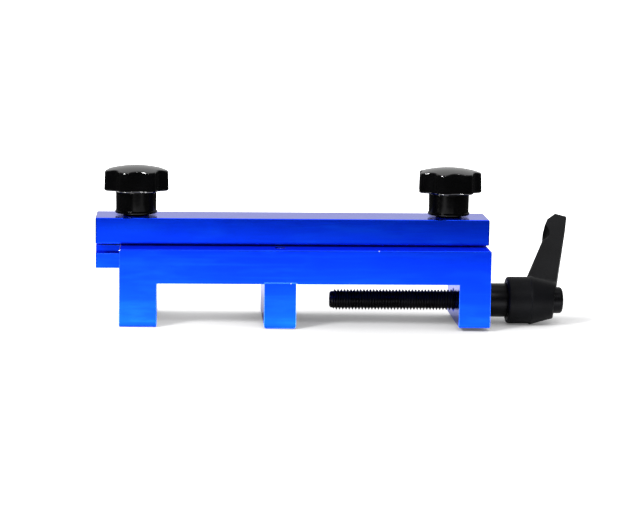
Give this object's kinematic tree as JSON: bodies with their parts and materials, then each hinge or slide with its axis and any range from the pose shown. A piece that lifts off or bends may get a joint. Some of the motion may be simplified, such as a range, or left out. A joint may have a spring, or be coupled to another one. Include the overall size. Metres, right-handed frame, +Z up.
{
  "type": "sliding clamp fixture",
  "caption": "Bridge-shaped aluminium fixture with a T-slot slide, a clamp bar held by lobed knobs and an indexing clamp lever that locks it over a rail.",
  "frame": {"origin": "centre of the middle jaw block's foot face", "axes": "+X along the slide towards the clamp lever, -Y the front, +Z up"},
  "size_m": [0.1899, 0.0778, 0.0606],
  "materials": {
    "blue_anodised": "satin blue anodised",
    "knob_black": "glossy moulded phenolic",
    "lever_black": "matt black powder coat",
    "black_oxide": "black oxide steel",
    "bright_steel": "zinc plated steel",
    "spring_steel": "drawn spring wire"
  },
  "bodies": {
    "bridge": {"base_body": "blue_anodised", "jaw_block": "blue_anodised", "jaw_block_screw_front": "bright_steel", "jaw_block_screw_rear": "bright_steel"},
    "slide": {"tee_slide": "blue_anodised", "lift_spring_left": "spring_steel", "lift_spring_right": "spring_steel"},
    "bar": {"clamp_bar": "blue_anodised", "washer_left": "black_oxide", "washer_right": "black_oxide"},
    "left_knob": {"knob_left": "knob_black", "knob_stud_left": "bright_steel"},
    "right_knob": {"knob_right": "knob_black", "knob_stud_right": "bright_steel"},
    "screw_carrier": {"lever_spring": "spring_steel"},
    "clamp_spindle": {"clamp_screw": "black_oxide", "lever_insert": "black_oxide", "lever_retaining_screw": "black_oxide"},
    "lever": {"lever_handle": "lever_black"}
  },
  "joints": [
    {"name": "slide_travel", "type": "slide", "parent": "bridge", "child": "slide", "axis": [1, 0, 0], "range_m": [-0.06, 0.015]},
    {"name": "bar_lift", "type": "slide", "parent": "slide", "child": "bar", "axis": [0, 0, 1], "range_m": [-0.00075, 0.0032], "deforming": ["lift_spring_left", "lift_spring_right"]},
    {"name": "left_knob_turn", "type": "hinge", "parent": "bar", "child": "left_knob", "pos_m": [-0.0544, 0, 0.05], "axis": [0, 0, 1], "range_deg": [-338, 1441]},
    {"name": "right_knob_turn", "type": "hinge", "parent": "bar", "child": "right_knob", "pos_m": [0.0651, 0, 0.05], "axis": [0, 0, 1], "range_deg": [-338, 1441]},
    {"name": "screw_feed", "type": "slide", "parent": "bridge", "child": "screw_carrier", "axis": [1, 0, 0], "range_m": [0, 0.048]},
    {"name": "screw_turn", "type": "hinge", "parent": "screw_carrier", "child": "clamp_spindle", "pos_m": [0.09, 0, 0.008], "axis": [1, 0, 0], "range_deg": [-1, 13826]},
    {"name": "handle_lift", "type": "slide", "parent": "clamp_spindle", "child": "lever", "axis": [1, 0, 0], "range_m": [0, 0.0033], "deforming": ["lever_spring"]}
  ],
  "couplings": [
    {"joint": "left_knob_turn", "follows": "bar_lift", "rad_per_m": 7854},
    {"joint": "right_knob_turn", "follows": "bar_lift", "rad_per_m": 7854},
    {"joint": "screw_turn", "follows": "screw_feed", "rad_per_m": 5026.5}
  ]
}
